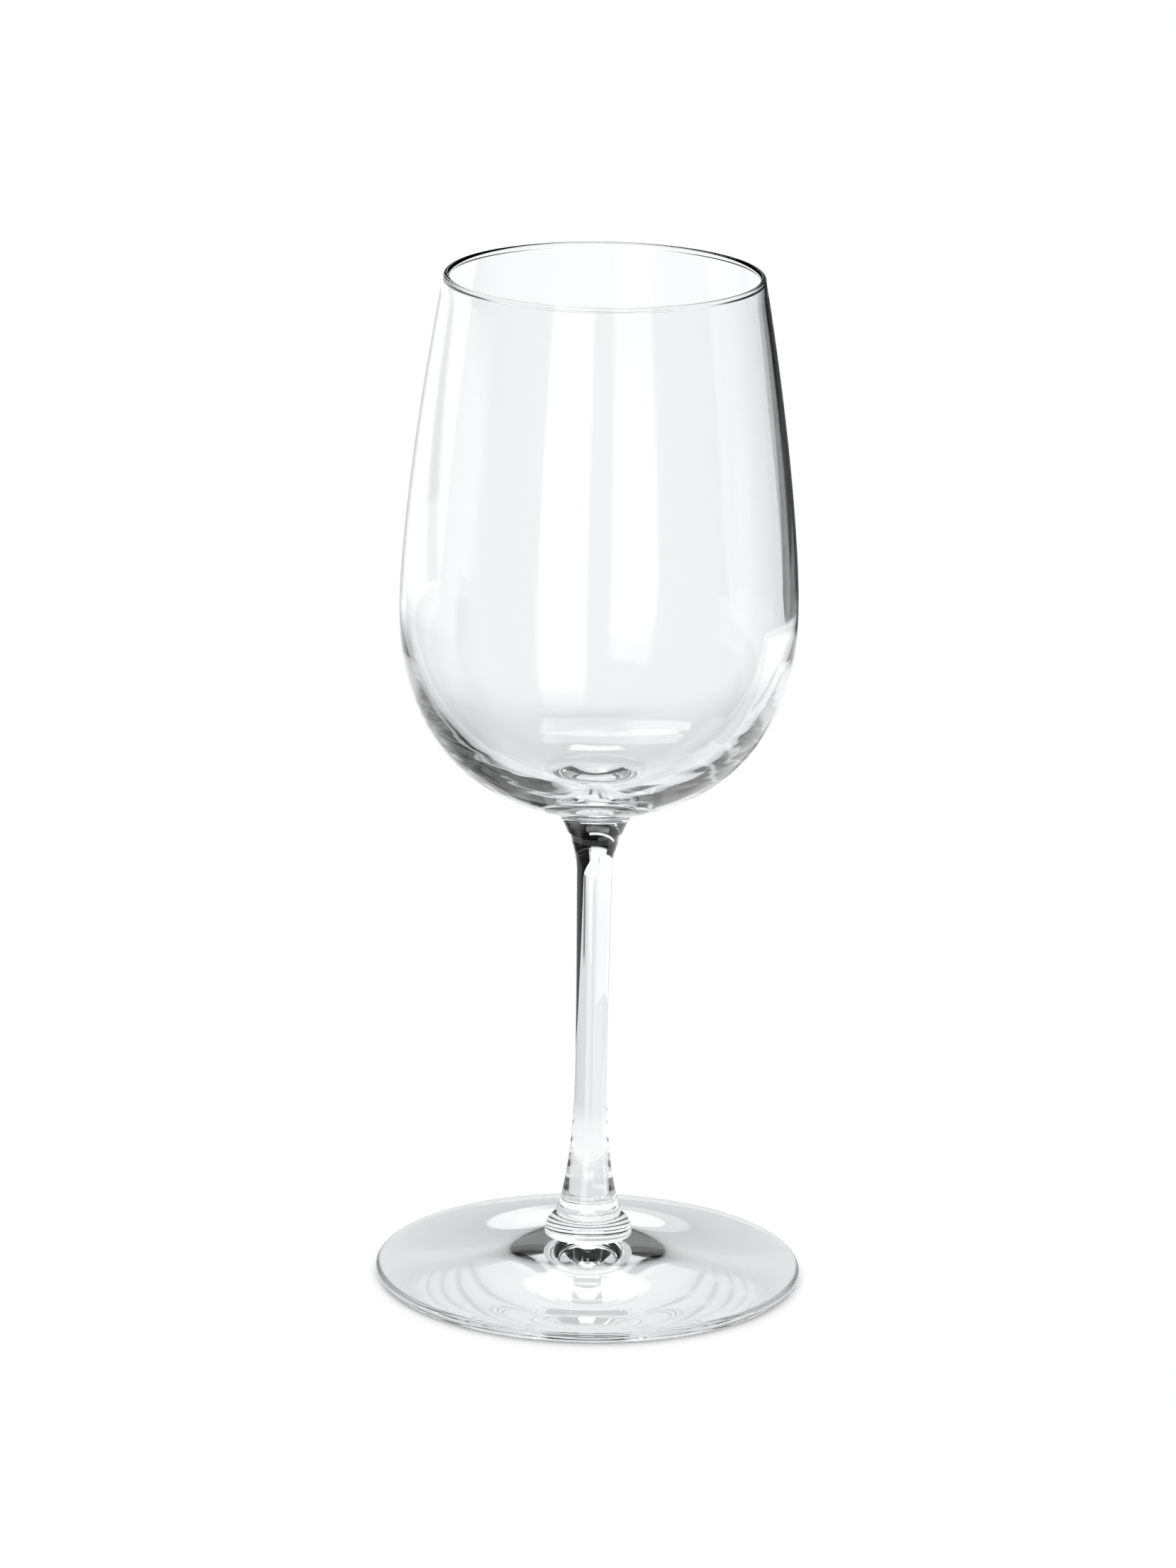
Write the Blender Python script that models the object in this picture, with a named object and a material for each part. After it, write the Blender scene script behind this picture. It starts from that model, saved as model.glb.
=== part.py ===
"""A clear stemmed wine glass: a blown bowl, a drawn stem and a pressed foot, fused hot at two welds.

Metres, with +Z up. The origin is on the axis of the glass, on the surface that the foot stands on.
Each piece is turned round that axis from one closed outline, drawn upwards from its own lowest level.
"""

import math

import bmesh
import bpy

MM = 0.001

# The whole glass
OVERALL_HEIGHT = 220.0 * MM
WELD_GAP = 0.3 * MM  # left between two fused faces, so that each piece is a solid of its own
UPPER_WELD_DIAMETER = 15.9 * MM  # shared by the bowl and the top of the stem
LOWER_WELD_DIAMETER = 13.2 * MM  # shared by the bottom of the stem and the foot

# Bowl, measured up from its weld face
BOWL_HEIGHT = 116.7 * MM
RIM_DIAMETER = 67.2 * MM
BELLY_DIAMETER = 84.3 * MM
BELLY_HEIGHT = 46.3 * MM
RIM_WALL = 1.0 * MM
BELLY_WALL = 1.7 * MM
LIP_THICKNESS = 1.3 * MM  # the rounded lip, flush with the outside
LIP_REACH = 0.9 * MM  # how far down the inside the lip swells
BOWL_BASE = 5.3 * MM  # glass between the weld face and the lowest point of the hollow
COLLAR_DIAMETER = 26.0 * MM  # where the round bottom starts to draw in to the weld
COLLAR_DROP = 1.05 * MM  # how far the weld face lies below the round bottom
COLLAR_REACH = 1.6 * MM  # how far the collar runs on along each of its end directions
SIDE_CURVE = 1.475  # how late the side leans in towards the rim
BOTTOM_CURVE = 2.3  # 2 is an ellipse, more is squarer
INSIDE_CURVE = 2.2  # rounder, so that the wall thickens towards the bottom

# Stem, measured up from its lower weld face
WAIST_DIAMETER = 6.86 * MM
NECK_DIAMETER = 7.9 * MM
NECK_FLARE = 12.5 * MM  # length of the flare below the bowl
ANKLE_DIAMETER = 13.1 * MM
ANKLE_FLARE = 41.0 * MM  # length of the flare above the foot
BEAD_DIAMETER = 14.0 * MM
BEAD_HEIGHT = 1.8 * MM
TAPER_CURVE = 1.3
NECK_CURVE = 1.8
ANKLE_CURVE = 3.3

# Foot, measured up from the surface that it stands on
FOOT_DIAMETER = 91.7 * MM
FOOT_HEIGHT = 13.4 * MM  # up to its weld face
FOOT_EDGE = 2.3 * MM
BOSS_DIAMETER = 18.8 * MM
SHOULDER_HEIGHT = 9.3 * MM  # where the boss meets the sloping top
REST_RING_WIDTH = 1.0 * MM  # flat ring that the glass stands on
HOLLOW_HEIGHT = 3.8 * MM  # rise of the underside at its centre
HOLLOW_CURVE = 1.6  # how round the middle of the hollow is
HOLLOW_EASE = 2.8  # how gently the hollow runs out to the ring
FOOT_CURVE = 1.7

# How finely the round shapes are divided
BOWL_SIDES = 64
STEM_SIDES = 40
FOOT_SIDES = 64
SHARP_ANGLE = math.radians(35.0)
MERGE_DISTANCE = 0.00001

STEM_LENGTH = OVERALL_HEIGHT - FOOT_HEIGHT - BOWL_HEIGHT - 2.0 * WELD_GAP
LIP_LEVEL = BOWL_HEIGHT - LIP_THICKNESS / 2  # where the round of the lip starts


def steps(count):
    """Evenly spaced fractions from 0 to 1."""
    return [index / count for index in range(count + 1)]


def quarter_round(across, down, power, start, end, count):
    """Points of a quarter of a superellipse, from one angle to the other: 0 is its side, a right angle its bottom."""
    points = []
    for fraction in steps(count):
        angle = start + (end - start) * fraction
        points.append((
            across * max(math.cos(angle), 0.0) ** (2.0 / power),
            -down * max(math.sin(angle), 0.0) ** (2.0 / power),
        ))
    return points


def blend(start, start_pull, end_pull, end, count):
    """Points of a cubic curve between two points, each with its own pull."""
    points = []
    for t in steps(count):
        weights = ((1 - t) ** 3, 3 * t * (1 - t) ** 2, 3 * t * t * (1 - t), t ** 3)
        corners = (start, start_pull, end_pull, end)
        points.append(tuple(
            sum(weight * corner[axis] for weight, corner in zip(weights, corners)) for axis in (0, 1)
        ))
    return points


def onward(first, second, reach):
    """The point that lies a given way past the second point, in the direction from the first."""
    run = (second[0] - first[0], second[1] - first[1])
    length = math.hypot(*run)
    return second[0] + run[0] * reach / length, second[1] + run[1] * reach / length


def bowl_side(height, inside):
    """Radius of the side between the widest level and the rim, on its outer or its inner face."""
    rise = (height - BELLY_HEIGHT) / (BOWL_HEIGHT - BELLY_HEIGHT)
    radius = BELLY_DIAMETER / 2 - (BELLY_DIAMETER - RIM_DIAMETER) / 2 * rise ** SIDE_CURVE
    if not inside:
        return radius
    wall = BELLY_WALL + (RIM_WALL - BELLY_WALL) * rise
    below_lip = min((LIP_LEVEL - height) / LIP_REACH, 1.0)
    swell = (1.0 + math.cos(math.pi * below_lip)) / 2
    return radius - wall - (LIP_THICKNESS - wall) * swell


def bowl_outline():
    """From the lowest point of the hollow, up the inside, over the lip and down the outside to the weld face."""
    right_angle = math.pi / 2
    inside_bottom = quarter_round(
        BELLY_DIAMETER / 2 - BELLY_WALL, BELLY_HEIGHT - BOWL_BASE, INSIDE_CURVE, right_angle, 0.0, 12
    )
    collar_angle = math.acos((COLLAR_DIAMETER / BELLY_DIAMETER) ** (BOTTOM_CURVE / 2))
    outside_bottom = quarter_round(
        BELLY_DIAMETER / 2, BELLY_HEIGHT - COLLAR_DROP, BOTTOM_CURVE, 0.0, collar_angle, 11
    )
    inside_bottom = [(radius, BELLY_HEIGHT + drop) for radius, drop in inside_bottom]
    outside_bottom = [(radius, BELLY_HEIGHT + drop) for radius, drop in outside_bottom]

    lip_radius = LIP_THICKNESS / 2
    lip_start = LIP_LEVEL - LIP_REACH
    side_levels = [BELLY_HEIGHT + (lip_start - BELLY_HEIGHT) * fraction for fraction in steps(8)[1:]]
    swell_levels = [lip_start + LIP_REACH * fraction for fraction in steps(4)[1:-1]]
    inside_side = [(bowl_side(height, True), height) for height in side_levels + swell_levels]
    outside_side = [(bowl_side(height, False), height) for height in reversed(side_levels)]
    lip_centre = bowl_side(LIP_LEVEL, False) - lip_radius
    lip = []
    for fraction in steps(6):
        angle = math.pi * (1.0 - fraction)
        lip.append((lip_centre + lip_radius * math.cos(angle), LIP_LEVEL + lip_radius * math.sin(angle)))

    weld_edge = (UPPER_WELD_DIAMETER / 2, 0.0)
    flare_top = (stem_radius(STEM_LENGTH - COLLAR_REACH), -COLLAR_REACH)
    collar = blend(
        outside_bottom[-1],
        onward(outside_bottom[-2], outside_bottom[-1], COLLAR_REACH),
        onward(flare_top, weld_edge, COLLAR_REACH / 2),
        weld_edge,
        5,
    )
    return inside_bottom + inside_side + lip + outside_side + outside_bottom + collar[1:] + [(0.0, 0.0)]


def stem_radius(height):
    """The waist, with a slow taper up to the neck, a flare into the bowl and a long flare into the foot."""
    radius = WAIST_DIAMETER / 2
    if height > ANKLE_FLARE:
        rise = (height - ANKLE_FLARE) / (STEM_LENGTH - ANKLE_FLARE)
        radius += (NECK_DIAMETER - WAIST_DIAMETER) / 2 * rise ** TAPER_CURVE
    else:
        fall = (ANKLE_FLARE - height) / (ANKLE_FLARE - BEAD_HEIGHT)
        radius += (ANKLE_DIAMETER - WAIST_DIAMETER) / 2 * fall ** ANKLE_CURVE
    flare = 1.0 - (STEM_LENGTH - height) / NECK_FLARE
    if flare > 0.0:
        radius += (UPPER_WELD_DIAMETER - NECK_DIAMETER) / 2 * flare ** NECK_CURVE
    return radius


def stem_outline():
    """From the top weld face, down the side and round the bead to the lower weld face."""
    side = []
    for fraction in steps(26):
        height = STEM_LENGTH - (STEM_LENGTH - BEAD_HEIGHT) * (1.0 - math.cos(math.pi * fraction)) / 2
        side.append((stem_radius(height), height))
    bead = []
    for fraction in steps(6)[1:]:
        angle = math.pi * (0.5 - fraction)
        root = ANKLE_DIAMETER + (LOWER_WELD_DIAMETER - ANKLE_DIAMETER) * fraction
        bead.append((
            root / 2 + (BEAD_DIAMETER - root) / 2 * math.cos(angle),
            BEAD_HEIGHT / 2 * (1.0 + math.sin(angle)),
        ))
    return [(0.0, STEM_LENGTH)] + side + bead + [(0.0, 0.0)]


def foot_outline():
    """From the weld face, over the boss and the sloping top, round the edge and back along the underside."""
    weld_radius = LOWER_WELD_DIAMETER / 2
    boss_radius = BOSS_DIAMETER / 2
    boss = []
    for fraction in steps(6):
        angle = math.pi / 2 * (1.0 - fraction)
        boss.append((
            weld_radius + (boss_radius - weld_radius) * math.cos(angle),
            SHOULDER_HEIGHT + (FOOT_HEIGHT - SHOULDER_HEIGHT) * math.sin(angle),
        ))
    edge_radius = FOOT_EDGE / 2
    edge_centre = FOOT_DIAMETER / 2 - edge_radius
    top = []
    for fraction in steps(9)[1:-1]:
        height = FOOT_EDGE + (SHOULDER_HEIGHT - FOOT_EDGE) * (1.0 - fraction) ** FOOT_CURVE
        top.append((boss_radius + (edge_centre - boss_radius) * fraction, height))
    edge = []
    for fraction in steps(6):
        angle = math.pi * (0.5 - fraction)
        edge.append((edge_centre + edge_radius * math.cos(angle), edge_radius * (1.0 + math.sin(angle))))
    ring_radius = edge_centre - REST_RING_WIDTH
    hollow = []
    for fraction in steps(9):
        rise = (1.0 - (1.0 - fraction) ** HOLLOW_CURVE) ** HOLLOW_EASE
        hollow.append((ring_radius * (1.0 - fraction), HOLLOW_HEIGHT * rise))
    return [(0.0, FOOT_HEIGHT)] + boss + top + edge + hollow


def clear_glass(name):
    """Clear soda-lime glass, smooth from the fire, with the faintest cool cast."""
    material = bpy.data.materials.new(name)
    material.use_nodes = True
    shader = material.node_tree.nodes["Principled BSDF"]
    shader.inputs["Base Color"].default_value = (0.93, 0.95, 0.96, 1.0)
    shader.inputs["Metallic"].default_value = 0.0
    shader.inputs["Roughness"].default_value = 0.02
    shader.inputs["IOR"].default_value = 1.52
    shader.inputs["Transmission Weight"].default_value = 1.0
    return material


def turned(name, outline, sides, level, parent):
    """One closed solid, spun from its outline and stood at its level on the axis."""
    shape = bmesh.new()
    points = [shape.verts.new((radius, 0.0, height)) for radius, height in outline]
    lines = [shape.edges.new(pair) for pair in zip(points, points[1:])]
    bmesh.ops.spin(
        shape, geom=points + lines, cent=(0, 0, 0), axis=(0, 0, 1), angle=math.tau, steps=sides, use_merge=True
    )
    bmesh.ops.remove_doubles(shape, verts=shape.verts, dist=MERGE_DISTANCE)
    bmesh.ops.recalc_face_normals(shape, faces=shape.faces)
    mesh = bpy.data.meshes.new(name)
    shape.to_mesh(mesh)
    shape.free()
    mesh.materials.append(clear_glass(name + "_glass"))
    mesh.shade_smooth()
    mesh.set_sharp_from_angle(angle=SHARP_ANGLE)
    piece = bpy.data.objects.new(name, mesh)
    piece.location.z = level
    piece.parent = parent
    bpy.context.scene.collection.objects.link(piece)
    return piece


def main():
    for old in list(bpy.data.objects):
        bpy.data.objects.remove(old)
    glass = bpy.data.objects.new("wine_glass", None)
    bpy.context.scene.collection.objects.link(glass)
    turned("bowl", bowl_outline(), BOWL_SIDES, OVERALL_HEIGHT - BOWL_HEIGHT, glass)
    turned("stem", stem_outline(), STEM_SIDES, FOOT_HEIGHT + WELD_GAP, glass)
    turned("foot", foot_outline(), FOOT_SIDES, 0.0, glass)


main()
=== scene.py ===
import math

import bpy
from mathutils import Matrix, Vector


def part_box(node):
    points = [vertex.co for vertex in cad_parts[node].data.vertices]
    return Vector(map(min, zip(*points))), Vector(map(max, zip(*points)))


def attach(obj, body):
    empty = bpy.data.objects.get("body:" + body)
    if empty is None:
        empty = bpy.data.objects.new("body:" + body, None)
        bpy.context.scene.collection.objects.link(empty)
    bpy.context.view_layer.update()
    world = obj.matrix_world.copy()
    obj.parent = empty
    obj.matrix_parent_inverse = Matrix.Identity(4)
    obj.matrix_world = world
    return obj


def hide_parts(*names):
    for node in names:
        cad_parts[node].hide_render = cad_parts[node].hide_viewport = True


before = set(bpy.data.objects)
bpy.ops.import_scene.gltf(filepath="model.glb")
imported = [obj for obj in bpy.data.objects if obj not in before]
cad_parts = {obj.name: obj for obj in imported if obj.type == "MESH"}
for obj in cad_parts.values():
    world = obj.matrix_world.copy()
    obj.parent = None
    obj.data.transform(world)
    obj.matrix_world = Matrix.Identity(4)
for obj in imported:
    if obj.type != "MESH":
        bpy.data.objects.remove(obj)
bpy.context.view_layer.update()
mm = 0.001
print("frame loaded:", ", ".join(sorted(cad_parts)))


# Small tools that every piece shares

def hexColor(code):
    channels = [int(code[i:i + 2], 16) / 255 for i in (0, 2, 4)]
    linear = [c / 12.92 if c <= 0.04045 else ((c + 0.055) / 1.055) ** 2.4 for c in channels]
    return (*linear, 1.0)


def addNode(tree, kind, settings=None, links=None):
    # a link is another node's output or a plain number, and the new node's own outputs come back
    node = tree.nodes.new("ShaderNode" + kind)
    for name, value in (settings or {}).items():
        if isinstance(name, int) or name in node.inputs:
            node.inputs[name].default_value = value
        else:
            setattr(node, name, value)
    for name, source in (links or {}).items():
        if isinstance(source, (int, float)):
            node.inputs[name].default_value = source
        else:
            tree.links.new(source, node.inputs[name])
    return node.outputs


def newTree(owner):
    owner.use_nodes = True
    owner.node_tree.nodes.clear()
    return owner.node_tree


def fractions(count):
    return [i / count for i in range(count + 1)]


def superRound(across, down, power, start, end, count):
    # part of a superellipse, from angle start to angle end: 0 is its side, a right angle its bottom
    points = []
    for f in fractions(count):
        angle = start + (end - start) * f
        points.append((
            across * max(math.cos(angle), 0) ** (2 / power),
            -down * max(math.sin(angle), 0) ** (2 / power),
        ))
    return points


def halfRound(centre, level, radius, start, count):
    # a rounded edge, turned clockwise through half a circle from angle start
    points = []
    for f in fractions(count):
        angle = start - math.pi * f
        points.append((centre + radius * math.cos(angle), level + radius * math.sin(angle)))
    return points


turning = {
    "mergeWithin": 0.002,   # mm
    "weldWithin": 0.01,     # mm, how near a fused face is to the level of its weld
    "weldFlat": 0.99,       # how squarely it faces up or down
    "sharpFrom": 40.0,      # degrees
}


def turnPiece(name, outline, level, sides, welds):
    # the outline is drawn point by point, up from level, and spun round the axis of the glass
    bpy.ops.object.select_all(action="DESELECT")
    bpy.ops.mesh.primitive_plane_add(size=mm)
    piece = bpy.context.object
    piece.name = name
    bpy.ops.object.mode_set(mode="EDIT")
    bpy.ops.mesh.merge(type="CENTER")
    radius, height = outline[0]
    bpy.ops.transform.translate(value=(radius * mm, 0, (height + level) * mm))
    for point in outline[1:]:
        step = ((point[0] - radius) * mm, 0, (point[1] - height) * mm)
        bpy.ops.mesh.extrude_region_move(TRANSFORM_OT_translate={"value": step})
        radius, height = point
    bpy.ops.mesh.select_all(action="SELECT")
    bpy.ops.mesh.spin(steps=sides, angle=math.tau, center=(0, 0, 0), axis=(0, 0, 1))
    bpy.ops.mesh.select_all(action="SELECT")
    bpy.ops.mesh.remove_doubles(threshold=turning["mergeWithin"] * mm)
    bpy.ops.mesh.normals_make_consistent(inside=False)
    bpy.ops.object.mode_set(mode="OBJECT")
    bpy.ops.object.shade_smooth_by_angle(angle=math.radians(turning["sharpFrom"]))
    piece.data.materials.append(clearGlass)
    piece.data.materials.append(fusedJoin)
    for face in piece.data.polygons:  # the faces that are fused to the next piece
        away = min(abs(face.center.z - weld * mm) for weld in welds)
        if away < turning["weldWithin"] * mm and abs(face.normal.z) > turning["weldFlat"]:
            face.material_index = 1
    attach(piece, "root")
    print("turned", name, "with", len(piece.data.polygons), "faces")
    return piece


# Soda-lime glass, blown and drawn, smooth from the fire: clear, with sharp highlights.
# The long, very shallow waves of hand-worked glass bend what is seen through it.

glassFinish = {
    "tint": "FEFFFF",
    "roughness": 0.0,
    "ior": 1.52,
    "waveLength": 24.0,     # mm
    "waveHeight": 0.004,
    "swirlLength": 6.0,     # thicker swirls in the bottom of the bowl
    "swirlHeight": 0.16,
    "swirlStretch": 4.0,    # how much longer a swirl is round the glass than up it
    "swirlTwist": 0.6,
    "swirlFrom": 106.0,     # mm above the table
    "swirlTo": 140.0,
    "swirlStart": 3.0,      # mm below swirlFrom, where the swirls set in
}


def makeClearGlass():
    finish = glassFinish
    material = bpy.data.materials.new("fire_polished_soda_lime_glass")
    tree = newTree(material)
    place = addNode(tree, "TexCoord")["Object"]
    waves = addNode(tree, "TexNoise", {
        "Scale": 1 / (finish["waveLength"] * mm),
        "Detail": 1.0,
    }, {"Vector": place})["Fac"]
    around = 1 / finish["swirlStretch"]
    stretched = addNode(tree, "VectorMath", {
        "operation": "MULTIPLY",
        1: (around, around, 1),
    }, {0: place})[0]
    swirls = addNode(tree, "TexNoise", {
        "Scale": 1 / (finish["swirlLength"] * mm),
        "Detail": 1.0,
        "Distortion": finish["swirlTwist"],
    }, {"Vector": stretched})["Fac"]
    level = addNode(tree, "SeparateXYZ", links={0: place})["Z"]
    above = addNode(tree, "MapRange", {
        "interpolation_type": "SMOOTHSTEP",
        "From Min": (finish["swirlFrom"] - finish["swirlStart"]) * mm,
        "From Max": finish["swirlFrom"] * mm,
        "To Max": finish["swirlHeight"] / finish["waveHeight"],
    }, {"Value": level})[0]
    below = addNode(tree, "MapRange", {
        "interpolation_type": "SMOOTHSTEP",
        "From Min": finish["swirlTo"] * mm,
        "From Max": finish["swirlFrom"] * mm,
    }, {"Value": level})[0]
    amount = addNode(tree, "Math", {"operation": "MULTIPLY"}, {0: above, 1: below})[0]
    surface = addNode(tree, "Math", {"operation": "MULTIPLY_ADD"}, {0: swirls, 1: amount, 2: waves})[0]
    bump = addNode(tree, "Bump", {
        "Strength": 1.0,
        "Distance": finish["waveHeight"] * mm,
    }, {"Height": surface})["Normal"]
    shader = addNode(tree, "BsdfPrincipled", {
        "Base Color": hexColor(finish["tint"]),
        "Roughness": finish["roughness"],
        "IOR": finish["ior"],
        "Transmission Weight": 1.0,
    }, {"Normal": bump})[0]
    addNode(tree, "OutputMaterial", links={"Surface": shader})
    return material


def makeFusedJoin():
    # where two pieces are fused there is no surface, so light goes straight on
    material = bpy.data.materials.new("fused_glass_join")
    tree = newTree(material)
    through = addNode(tree, "BsdfTransparent")[0]
    addNode(tree, "OutputMaterial", links={"Surface": through})
    return material


clearGlass = makeClearGlass()
fusedJoin = makeFusedJoin()
print("materials made:", clearGlass.name, fusedJoin.name)


# Where the three gathers of glass meet, in mm from the table, and the whole height

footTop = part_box("foot")[1].z / mm
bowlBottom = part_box("bowl")[0].z / mm
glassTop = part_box("bowl")[1].z / mm
stemLength = bowlBottom - footTop


# Drawn stem, measured up from the foot

stemShape = {
    "waist": 6.86,          # diameters in mm
    "neck": 7.9,
    "ankle": 13.1,
    "bead": 14.0,
    "topWeld": 15.9,
    "lowWeld": 13.2,
    "neckFlare": 12.5,      # lengths in mm
    "ankleFlare": 41.0,
    "beadHeight": 1.8,
    "taperCurve": 1.3,
    "neckCurve": 1.8,
    "ankleCurve": 3.3,
    "sides": 96,
    "sideSteps": 90,
    "beadSteps": 14,
}


def stemRadius(height):
    s = stemShape
    radius = s["waist"] / 2
    if height > s["ankleFlare"]:
        rise = (height - s["ankleFlare"]) / (stemLength - s["ankleFlare"])
        radius += (s["neck"] - s["waist"]) / 2 * rise ** s["taperCurve"]
    else:
        fall = (s["ankleFlare"] - height) / (s["ankleFlare"] - s["beadHeight"])
        radius += (s["ankle"] - s["waist"]) / 2 * fall ** s["ankleCurve"]
    flare = 1 - (stemLength - height) / s["neckFlare"]
    if flare > 0:
        radius += (s["topWeld"] - s["neck"]) / 2 * flare ** s["neckCurve"]
    return radius


def makeStem():
    s = stemShape
    side = []
    for f in fractions(s["sideSteps"]):  # closer together in both flares
        height = stemLength - (stemLength - s["beadHeight"]) * (1 - math.cos(math.pi * f)) / 2
        side.append((stemRadius(height), height))
    bead = []
    for f in fractions(s["beadSteps"])[1:]:
        angle = math.pi * (0.5 - f)
        root = s["ankle"] + (s["lowWeld"] - s["ankle"]) * f
        swell = (s["bead"] - root) / 2 * math.cos(angle)
        bead.append((root / 2 + swell, s["beadHeight"] / 2 * (1 + math.sin(angle))))
    outline = [(0, stemLength)] + side + bead + [(0, 0)]
    piece = turnPiece("drawn_stem", outline, footTop, s["sides"], (footTop, bowlBottom))
    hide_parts("stem")
    return piece


# Blown bowl, measured up from its weld to the stem

bowlShape = {
    "rim": 67.2,            # diameters in mm
    "belly": 84.3,
    "collar": 26.0,
    "bellyHeight": 46.3,    # lengths in mm
    "rimWall": 1.0,
    "bellyWall": 1.7,
    "lip": 1.3,
    "lipReach": 0.9,
    "base": 5.3,
    "collarDrop": 1.05,
    "collarReach": 1.6,
    "sideCurve": 1.475,
    "bottomCurve": 2.3,
    "hollowCurve": 2.2,     # rounder, so the wall thickens towards the bottom
    "sides": 192,
    "hollowSteps": 48,
    "sideSteps": 24,
    "lipSteps": 16,
    "underLipSteps": 12,
    "bottomSteps": 40,
    "collarSteps": 16,
}


def bowlRise(height):
    # 0 at the belly, 1 at the rim
    return (height - bowlShape["bellyHeight"]) / (glassTop - bowlBottom - bowlShape["bellyHeight"])


def bowlRadius(height):
    b = bowlShape
    return b["belly"] / 2 - (b["belly"] - b["rim"]) / 2 * bowlRise(height) ** b["sideCurve"]


def bowlWall(height, lipLevel):
    # the wall thins towards the rim and swells inwards to the lip
    b = bowlShape
    wall = b["bellyWall"] + (b["rimWall"] - b["bellyWall"]) * bowlRise(height)
    near = min((lipLevel - height) / b["lipReach"], 1)
    return wall + (b["lip"] - wall) * (1 + math.cos(math.pi * near)) / 2


def collarCurve(start, before):
    # leaves the round bottom at start and runs into the flare of the stem
    reach = bowlShape["collarReach"]
    run = math.dist(before, start)
    pullOut = [start[i] + (start[i] - before[i]) * reach / run for i in (0, 1)]
    end = (stemShape["topWeld"] / 2, 0)
    slope = (end[0] - stemRadius(stemLength - reach), reach)
    pullIn = [end[i] + slope[i] * reach / 2 / math.hypot(*slope) for i in (0, 1)]
    corners = (start, pullOut, pullIn, end)
    points = []
    for t in fractions(bowlShape["collarSteps"])[1:]:
        weights = ((1 - t) ** 3, 3 * t * (1 - t) ** 2, 3 * t * t * (1 - t), t ** 3)
        points.append(tuple(sum(w * c[i] for w, c in zip(weights, corners)) for i in (0, 1)))
    return points


def makeBowl():
    b = bowlShape
    bellyHeight = b["bellyHeight"]
    bellyRadius = b["belly"] / 2
    quarter = math.pi / 2
    hollowDepth = bellyHeight - b["base"]
    hollowRadius = bellyRadius - b["bellyWall"]
    hollow = superRound(hollowRadius, hollowDepth, b["hollowCurve"], quarter, 0, b["hollowSteps"])
    collarAngle = math.acos((b["collar"] / b["belly"]) ** (b["bottomCurve"] / 2))
    bottomDepth = bellyHeight - b["collarDrop"]
    under = superRound(bellyRadius, bottomDepth, b["bottomCurve"], 0, collarAngle, b["bottomSteps"])
    hollow = [(r, bellyHeight + z) for r, z in hollow]
    under = [(r, bellyHeight + z) for r, z in under]

    lipRadius = b["lip"] / 2
    lipLevel = glassTop - bowlBottom - lipRadius
    lipStart = lipLevel - b["lipReach"]
    levels = [bellyHeight + (lipStart - bellyHeight) * f for f in fractions(b["sideSteps"])[1:]]
    levels += [lipStart + b["lipReach"] * f for f in fractions(b["underLipSteps"])[1:-1]]
    inside = [(bowlRadius(h) - bowlWall(h, lipLevel), h) for h in levels]
    outside = [(bowlRadius(h), h) for h in reversed(levels)]
    lip = halfRound(bowlRadius(lipLevel) - lipRadius, lipLevel, lipRadius, math.pi, b["lipSteps"])

    collar = collarCurve(under[-1], under[-2])
    outline = hollow + inside + lip + outside + under + collar + [(0, 0)]
    piece = turnPiece("blown_bowl", outline, bowlBottom, b["sides"], (bowlBottom,))
    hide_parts("bowl")
    return piece


# Pressed foot, measured up from the table

footShape = {
    "across": 91.7,         # diameters in mm
    "boss": 18.8,
    "edge": 2.3,            # lengths in mm
    "shoulder": 9.3,
    "restRing": 1.0,
    "hollow": 3.8,
    "hollowCurve": 1.6,
    "hollowEase": 2.8,      # the hollow runs out gently to the ring
    "slopeCurve": 1.7,
    "sides": 192,
    "bossSteps": 16,
    "slopeSteps": 40,
    "edgeSteps": 16,
    "hollowSteps": 40,
}


def makeFoot():
    s = footShape
    weldRadius = stemShape["lowWeld"] / 2
    bossRadius = s["boss"] / 2
    boss = []
    for f in fractions(s["bossSteps"]):
        angle = math.pi / 2 * (1 - f)
        boss.append((
            weldRadius + (bossRadius - weldRadius) * math.cos(angle),
            s["shoulder"] + (footTop - s["shoulder"]) * math.sin(angle),
        ))
    edgeRadius = s["edge"] / 2
    edgeCentre = s["across"] / 2 - edgeRadius
    top = []
    for f in fractions(s["slopeSteps"])[1:-1]:
        height = s["edge"] + (s["shoulder"] - s["edge"]) * (1 - f) ** s["slopeCurve"]
        top.append((bossRadius + (edgeCentre - bossRadius) * f, height))
    edge = halfRound(edgeCentre, edgeRadius, edgeRadius, math.pi / 2, s["edgeSteps"])
    ringRadius = edgeCentre - s["restRing"]
    under = []
    for f in fractions(s["hollowSteps"]):
        rise = (1 - (1 - f) ** s["hollowCurve"]) ** s["hollowEase"]
        under.append((ringRadius * (1 - f), s["hollow"] * rise))
    outline = [(0, footTop)] + boss + top + edge + under
    piece = turnPiece("pressed_foot", outline, 0, s["sides"], (footTop,))
    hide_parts("foot")
    return piece


stem = makeStem()
bowl = makeBowl()
foot = makeFoot()


# What the table and the studio share. Light is sorted by how often it has turned at the glass,
# and each kind of light sees cards of its own.

lightKinds = {
    "mirrored": 0.5,        # turned more often than this: reflected
    "deep": 6.5,            # turned a few times inside the glass
    "guided": 10.5,         # run round inside the bowl
    "landed": 0.5,          # come from a matt surface
    "shadowLight": 0.94,    # what light keeps on its way through the glass to the table
}


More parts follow.
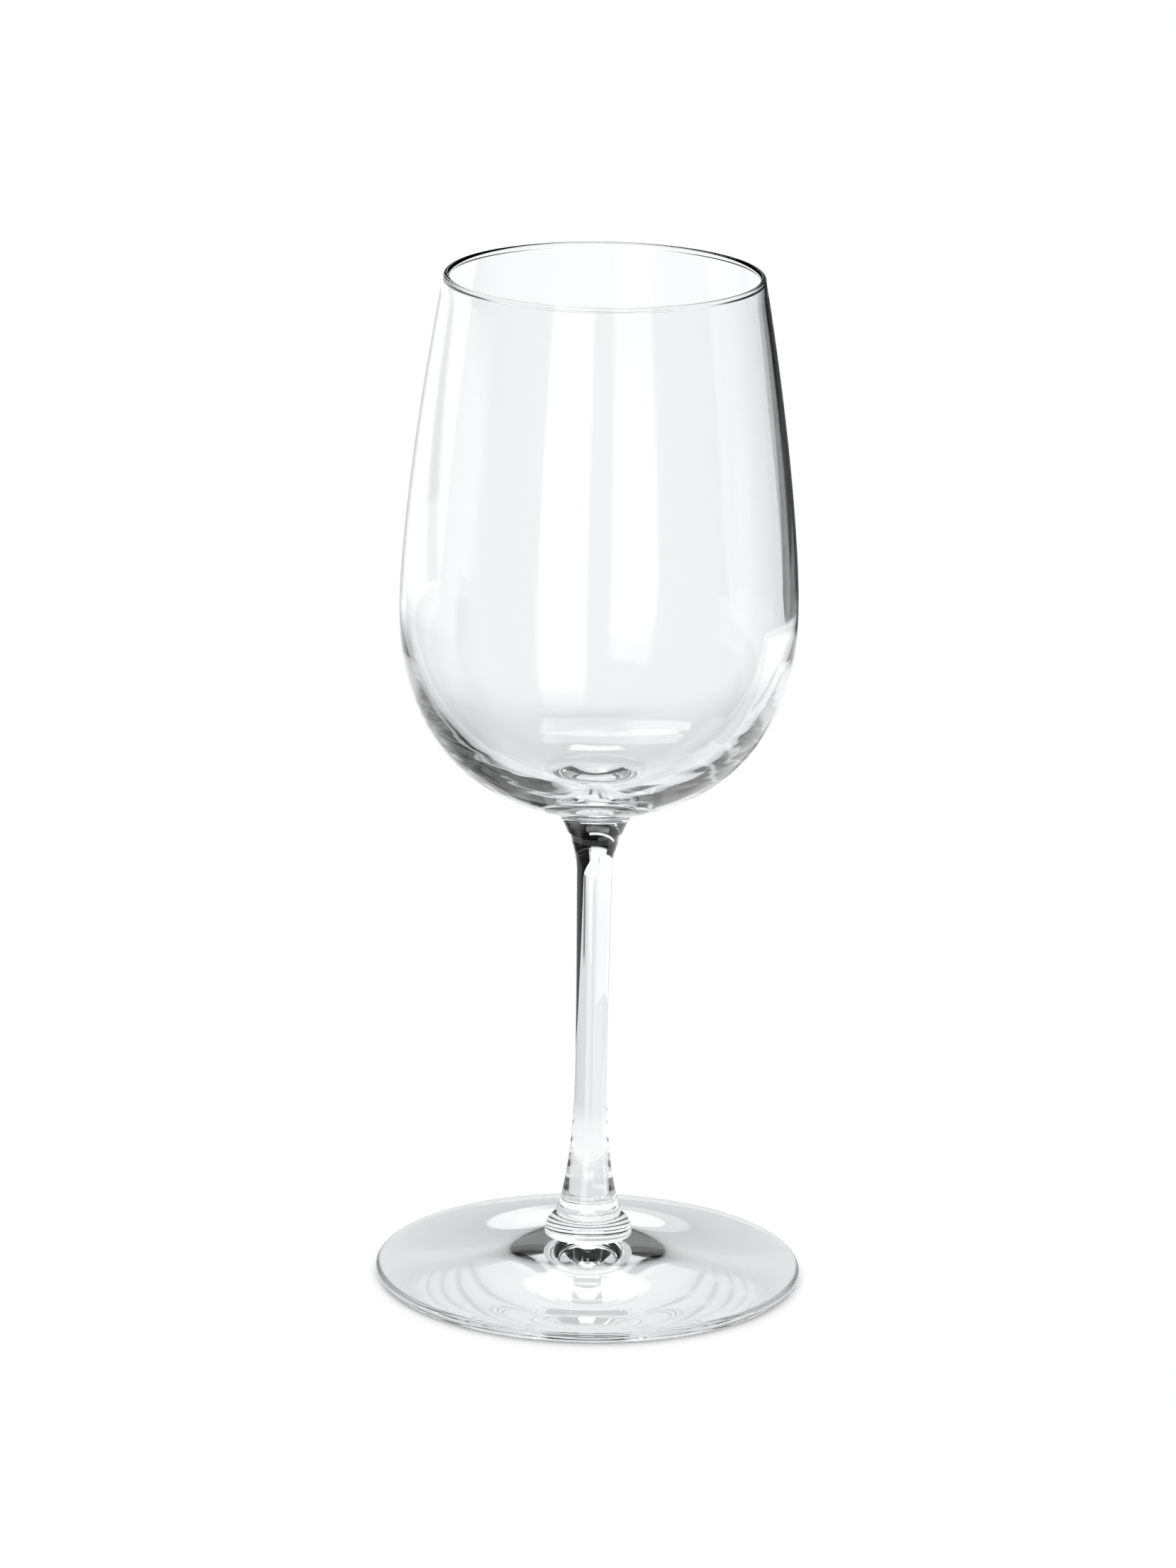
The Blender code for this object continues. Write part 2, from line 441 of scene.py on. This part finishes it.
def sortLight(tree, ray, light, later):
    # later says what each kind of turned light sees instead, the least turned first
    for kind, seen in later.items():
        turned = addNode(tree, "Math", {
            "operation": "GREATER_THAN",
            1: lightKinds[kind],
        }, {0: ray["Glossy Depth"]})[0]
        light = addNode(tree, "Mix", {"data_type": "FLOAT"}, {0: turned, 2: light, 3: seen})[0]
    landed = addNode(tree, "Math", {
        "operation": "GREATER_THAN",
        1: lightKinds["landed"],
    }, {0: ray["Diffuse Depth"]})[0]
    return addNode(tree, "Mix", {
        "data_type": "FLOAT",
        3: lightKinds["shadowLight"],
    }, {0: landed, 2: light})[0]


def degreesRound(tree, axes):
    # how far round from the back, + to the right
    turn = addNode(tree, "Math", {"operation": "ARCTAN2"}, {0: axes["X"], 1: axes["Y"]})[0]
    return addNode(tree, "Math", {"operation": "DEGREES"}, {0: turn})[0]


def paintCards(tree, across, along, light, cards):
    # each card is a soft-edged patch over the ones before it: its two spans, its soft edge, its brightness
    for (left, right), (low, high), soft, brightness in cards:
        mask = 1.0
        edges = ((across, left, -1), (across, right, 1), (along, low, -1), (along, high, 1))
        for value, edge, outward in edges:
            side = addNode(tree, "MapRange", {
                "interpolation_type": "SMOOTHSTEP",
                "From Min": edge + outward * soft,
                "From Max": edge - outward * soft,
            }, {"Value": value})[0]
            mask = addNode(tree, "Math", {"operation": "MULTIPLY"}, {0: mask, 1: side})[0]
        light = addNode(tree, "Mix", {"data_type": "FLOAT"}, {0: mask, 2: light, 3: brightness})[0]
    return light


# White table under the glass. It fades to the white of the background, and glass sees it white up to its
# edges, apart from its cards, some of which paint the shade of the glass and stem onto it.

table = {
    "left": -1000.0,        # edges in mm
    "right": 150.0,
    "front": -210.0,
    "back": 1600.0,
    "drop": 0.1,
    "fadeFrom": 90.0,       # mm from the axis of the glass
    "fadeTo": 145.0,
    "color": "FFFFFF",
    "inGlass": "FEFEFF",
    "brightness": 1.07,     # as it is seen in the glass
    "deep": 0.9,
    "mirrored": 0.03,       # how bright its front half is in reflections
    "mirrorEdge": 30.0,
    "seenThrough": [
        # degrees round from the back (+ to the right), cm from the axis, soft edge, brightness
        ((-200, 200), (-15, 31), 5.0, 0.95),        # painted shadow of the glass: a little greyer round it
        ((14, 75), (8, 31), 3.0, 0.8),              # shade behind on the right
        ((-4, 2.5), (8, 31), 1.5, 0.87),            # shade of the stem
        ((21, 27), (24, 33), 1.0, 0.25),
        ((-10.6, -8.4), (58, 170), 0.8, 0.85),      # faint line far behind on the left
        ((-10.6, -8.4), (68, 170), 0.8, 0.72),
        ((-200, 200), (-15, 8.6), 1.5, 1.03),       # white under the foot
        ((-165, -105), (9, 200), 4.0, 0.1),         # dark corner in front on the left
    ],
    "seenByReflection": [
        ((-130, -30), (16, 40), 12.0, 0.05),        # dark on the left
        ((-118, -35), (10, 18), 3.0, 0.04),
        ((-130, -30), (19, 60), 2.5, 0.7),          # white again farther out
        ((-30, -14), (6.5, 13.5), 1.5, 0.1),        # dark patches behind, on both sides
        ((14, 32), (5.5, 7.6), 0.8, 0.2),
        ((18, 30), (21, 30), 2.0, 0.25),
    ],
}
cmPerMetre = 100.0


def makeTablePaint():
    material = bpy.data.materials.new("matt_white_table")  # flat white that takes a soft shadow
    tree = newTree(material)
    place = addNode(tree, "TexCoord")["Object"]
    axes = addNode(tree, "SeparateXYZ", links={0: place})
    fromAxis = addNode(tree, "VectorMath", {"operation": "LENGTH"}, {0: place})["Value"]
    turn = degreesRound(tree, axes)
    reach = addNode(tree, "Math", {"operation": "MULTIPLY", 1: cmPerMetre}, {0: fromAxis})[0]
    through = paintCards(tree, turn, reach, table["brightness"], table["seenThrough"])
    mirrored = paintCards(tree, turn, reach, table["brightness"], table["seenByReflection"])
    front = addNode(tree, "MapRange", {
        "interpolation_type": "SMOOTHSTEP",
        "From Min": 0.0,
        "From Max": -table["mirrorEdge"] * mm,
    }, {"Value": axes["Y"]})[0]
    mirrored = addNode(tree, "Mix", {
        "data_type": "FLOAT",
        3: table["mirrored"],
    }, {0: front, 2: mirrored})[0]
    ray = addNode(tree, "LightPath")
    shade = sortLight(tree, ray, through, {"mirrored": mirrored, "deep": table["deep"]})
    seen = addNode(tree, "Emission", {"Color": hexColor(table["inGlass"])}, {"Strength": shade})[0]
    fade = addNode(tree, "MapRange", {
        "interpolation_type": "SMOOTHSTEP",
        "From Min": table["fadeFrom"] * mm,
        "From Max": table["fadeTo"] * mm,
    }, {"Value": fromAxis})[0]
    matt = addNode(tree, "BsdfDiffuse", {"Color": hexColor(table["color"])})[0]
    white = addNode(tree, "Emission", {"Color": hexColor(table["color"]), "Strength": 1.0})[0]
    lit = addNode(tree, "MixShader", links={0: fade, 1: matt, 2: white})[0]
    glassRay = addNode(tree, "Math", {"operation": "MAXIMUM"}, {
        0: ray["Is Transmission Ray"],
        1: ray["Is Glossy Ray"],
    })[0]
    both = addNode(tree, "MixShader", links={0: glassRay, 1: lit, 2: seen})[0]
    addNode(tree, "OutputMaterial", links={"Surface": both})
    return material


def layTable():
    bpy.ops.object.select_all(action="DESELECT")
    width = table["right"] - table["left"]
    length = table["back"] - table["front"]
    bpy.ops.mesh.primitive_plane_add(size=mm)
    top = bpy.context.object
    top.name = "white_table"
    bpy.ops.object.mode_set(mode="EDIT")
    bpy.ops.mesh.select_all(action="SELECT")
    bpy.ops.transform.resize(value=(width, length, 1))
    middle = (table["left"] + width / 2, table["front"] + length / 2, -table["drop"])
    bpy.ops.transform.translate(value=[v * mm for v in middle])
    bpy.ops.object.mode_set(mode="OBJECT")
    top.data.materials.append(makeTablePaint())
    print("table laid")


layTable()


# The studio round the glass, as soft cards in the world. A wall card says how far round from the back
# it is (+ to the right) and how far up, in degrees, then the width of its soft edge and its brightness.
# A ceiling card says how far aside and how far behind it is, for each metre that it is above the glass.

studio = {
    "background": "FFFFFF",
    "backgroundLight": 1.0,
    "sweepTop": 0.5,        # the white sweep reaches this high all round
    "sweepEdge": 1.0,
    "sweep": 1.08,
    "inGlass": "FEFEFF",
    "room": 0.004,
    "deep": 0.85,           # light that has turned a few times inside the glass
    "farther": 0.16,        # light that has run round inside the bowl
    "ceilingBow": 0.9,
    "ceilingFrom": 0.01,    # the ceiling ends just above level
    "walls": [
        ((-112, -60), (2, 60), 5.0, 0.22),          # grey walls
        ((60, 112), (2, 60), 5.0, 0.18),
        ((-20, 12), (17, 22), 1.5, 0.2),
        ((-9.5, 9.5), (40.5, 48), 1.5, 5.0),        # lamp high up behind
        ((8, 100), (-80, 4), 0.5, 0.6),             # dark room past the right edge of the table
        ((10.8, 100), (-80, 4), 0.5, 0.01),
        ((9.2, 26), (-40, -16.4), 0.5, 1.08),       # white edge of the table under it
        ((-165, -105), (-80, 4), 4.0, 0.1),         # dark corner in front on the left
    ],
    "ceiling": [
        ((-0.87, 0.43), (0.16, 0.54), 0.03, 3.2),   # wide soft light
    ],
    "straight": [
        # walls that are seen only through the glass
        ((-40, 8), (13.8, 15.8), 0.6, 1.0),         # strip light behind
        ((-25, 7), (-1, 4.5), 1.0, 1.06),           # higher sweep behind and at the sides
        ((-180, -62), (-1, 10), 2.0, 1.06),
        ((102, 180), (-1, 10), 2.0, 1.06),
    ],
    "inFront": [
        # walls that are seen only by reflection
        ((-8, -1), (-5, 4.5), 0.8, 1.0),            # low white card behind
        ((-1, 8), (-5, 4.5), 0.8, 0.5),
        ((95, 200), (-95, 62), 6.0, 0.04),          # dim room
        ((-200, -100), (-95, 62), 6.0, 0.04),
        ((5, 65), (-60, -15.4), 0.4, 1.08),         # white edge of the table on the right
        ((-172, -145), (-34, 28), 3.0, 1.2),
        ((-172, -145), (-28, 28), 3.0, 2.4),        # tall softbox on the left
    ],
    "farWalls": [
        # walls that are seen only by light that has run round inside the bowl
        ((-200, 200), (-95, 9), 4.0, 0.7),          # table and sweep
        ((64, 142), (17.5, 24), 2.0, 0.03),         # dark room on the right
        ((22, 56), (15, 26), 3.0, 0.02),
        ((142, 200), (5, 40), 8.0, 0.6),            # pale walls in front
        ((-200, -136), (5, 40), 8.0, 0.9),
        ((-136, -114), (5, 40), 5.0, 0.6),
        ((-112, -88), (25, 40), 2.0, 0.7),
        ((-100, -26), (15, 24), 3.0, 0.06),         # dark room on the left, with two pale posts
        ((-75, -70), (5, 30), 2.5, 0.6),
        ((-52, -47), (5, 30), 2.5, 0.6),
    ],
    "allTurns": 48,         # light runs a long way inside thick glass before it comes out
    "glassTurns": 32,
}


def makeStudio():
    world = bpy.data.worlds.new("white_sweep_studio")
    bpy.context.scene.world = world
    tree = newTree(world)
    direction = addNode(tree, "TexCoord")["Generated"]
    axes = addNode(tree, "SeparateXYZ", links={0: direction})
    turn = degreesRound(tree, axes)
    lift = addNode(tree, "Math", {"operation": "ARCSINE"}, {0: axes["Z"]})[0]
    lift = addNode(tree, "Math", {"operation": "DEGREES"}, {0: lift})[0]
    up = addNode(tree, "Math", {"operation": "MAXIMUM", 1: studio["ceilingFrom"]}, {0: axes["Z"]})[0]
    aside = addNode(tree, "Math", {"operation": "DIVIDE"}, {0: axes["X"], 1: up})[0]
    behind = addNode(tree, "Math", {"operation": "DIVIDE"}, {0: axes["Y"], 1: up})[0]
    bow = addNode(tree, "Math", {"operation": "MULTIPLY", 1: -studio["ceilingBow"]}, {0: aside})[0]
    behind = addNode(tree, "Math", {"operation": "MULTIPLY_ADD"}, {0: bow, 1: aside, 2: behind})[0]
    sweep = addNode(tree, "MapRange", {
        "interpolation_type": "SMOOTHSTEP",
        "From Min": studio["sweepTop"] + studio["sweepEdge"],
        "From Max": studio["sweepTop"] - studio["sweepEdge"],
        "To Min": studio["room"],
        "To Max": studio["sweep"],
    }, {"Value": lift})[0]
    shared = paintCards(tree, turn, lift, sweep, studio["walls"])
    shared = paintCards(tree, aside, behind, shared, studio["ceiling"])
    through = paintCards(tree, turn, lift, shared, studio["straight"])
    mirrored = paintCards(tree, turn, lift, shared, studio["inFront"])
    guided = paintCards(tree, turn, lift, studio["farther"], studio["farWalls"])
    ray = addNode(tree, "LightPath")
    light = sortLight(tree, ray, through, {
        "mirrored": mirrored,
        "deep": studio["deep"],
        "guided": guided,
    })
    plain = addNode(tree, "Math", {"operation": "MAXIMUM"}, {
        0: ray["Is Camera Ray"],
        1: ray["Is Diffuse Ray"],
    })[0]
    light = addNode(tree, "Mix", {
        "data_type": "FLOAT",
        3: studio["backgroundLight"],
    }, {0: plain, 2: light})[0]
    color = addNode(tree, "Mix", {
        "data_type": "RGBA",
        6: hexColor(studio["inGlass"]),
        7: hexColor(studio["background"]),
    }, {0: plain})[2]
    sky = addNode(tree, "Background", links={"Color": color, "Strength": light})[0]
    addNode(tree, "OutputWorld", links={"Surface": sky})
    cycles = bpy.context.scene.cycles
    cycles.max_bounces = studio["allTurns"]
    cycles.glossy_bounces = studio["glassTurns"]
    cycles.transmission_bounces = studio["glassTurns"]
    cardCount = sum(len(value) for value in studio.values() if isinstance(value, list))
    print("studio painted with", cardCount, "cards")


makeStudio()


# The camera, as the outlines of the glass in the picture place it

viewpoint = {
    "imageHeight": 2212,    # pixels
    "focalPixels": 10441.7,
    "distance": 1511.1,     # mm, from the axis of the glass
    "height": 540.5,
    "aside": -1.69,
    "clipEnd": 20000.0,
    "down": 15.917,         # degrees
    "roll": 0.99,
}


def placeCamera():
    lens = bpy.data.cameras.new("camera")
    camera = bpy.data.objects.new("camera", lens)
    bpy.context.scene.collection.objects.link(camera)
    lens.lens = lens.sensor_width * viewpoint["focalPixels"] / viewpoint["imageHeight"]
    lens.clip_end = viewpoint["clipEnd"] * mm
    place = (viewpoint["aside"] * mm, -viewpoint["distance"] * mm, viewpoint["height"] * mm)
    pitch = Matrix.Rotation(math.radians(90 - viewpoint["down"]), 4, "X")
    roll = Matrix.Rotation(math.radians(viewpoint["roll"]), 4, "Z")
    camera.matrix_world = Matrix.Translation(place) @ pitch @ roll
    bpy.context.scene.camera = camera
    bpy.context.scene.view_settings.view_transform = "Standard"
    print("camera placed")


placeCamera()
